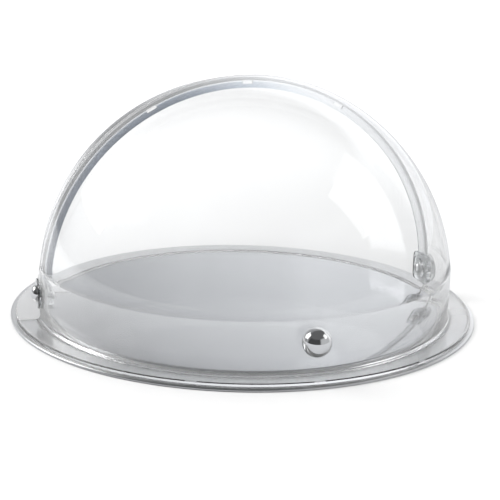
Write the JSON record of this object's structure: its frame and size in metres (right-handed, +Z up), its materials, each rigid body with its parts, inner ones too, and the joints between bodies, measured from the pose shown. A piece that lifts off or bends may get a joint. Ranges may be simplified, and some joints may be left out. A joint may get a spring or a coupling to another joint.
{
  "type": "roll top cake cover with tray",
  "caption": "Clear domed cake cover with a fixed rear shell, a roll-back front shell, side pivots and a ball knob, on a round steel tray.",
  "frame": {"origin": "centre of the tray's underside, on the surface it stands on", "axes": "+Z up, front (the knob) towards -Y, pivots along X"},
  "size_m": [0.428, 0.428, 0.2198],
  "materials": {
    "tray_steel": "polished stainless sheet",
    "clear_rear_shell": "clear, polished",
    "clear_front_shell": "clear, polished",
    "clear_bracket": "clear moulding",
    "clear_disc": "clear moulding",
    "screw_steel": "bright zinc or stainless",
    "nylon": "natural nylon",
    "chrome": "mirror chrome"
  },
  "bodies": {
    "tray": {"tray": "tray_steel"},
    "cover": {"rear_shell": "clear_rear_shell", "pivot_bracket_left": "clear_bracket", "pivot_bracket_right": "clear_bracket", "pivot_screw_left": "screw_steel", "pivot_screw_right": "screw_steel", "pivot_inner_washer_left": "screw_steel", "pivot_inner_washer_right": "screw_steel", "pivot_bush_left": "nylon", "pivot_bush_right": "nylon", "pivot_outer_disc_left": "clear_disc", "pivot_outer_disc_right": "clear_disc", "pivot_cap_nut_left": "chrome", "pivot_cap_nut_right": "chrome"},
    "front": {"front_shell": "clear_front_shell", "knob_ball": "chrome", "knob_outer_washer": "nylon", "knob_inner_washer": "nylon", "knob_screw": "screw_steel"}
  },
  "joints": [
    {"name": "cover_lift", "type": "slide", "parent": "tray", "child": "cover", "axis": [0, 0, 1], "range_m": [0, 0.3]},
    {"name": "front_roll", "type": "hinge", "parent": "cover", "child": "front", "pos_m": [0, 0, 0.0288], "axis": [-1, 0, 0], "range_deg": [0, 85]}
  ]
}
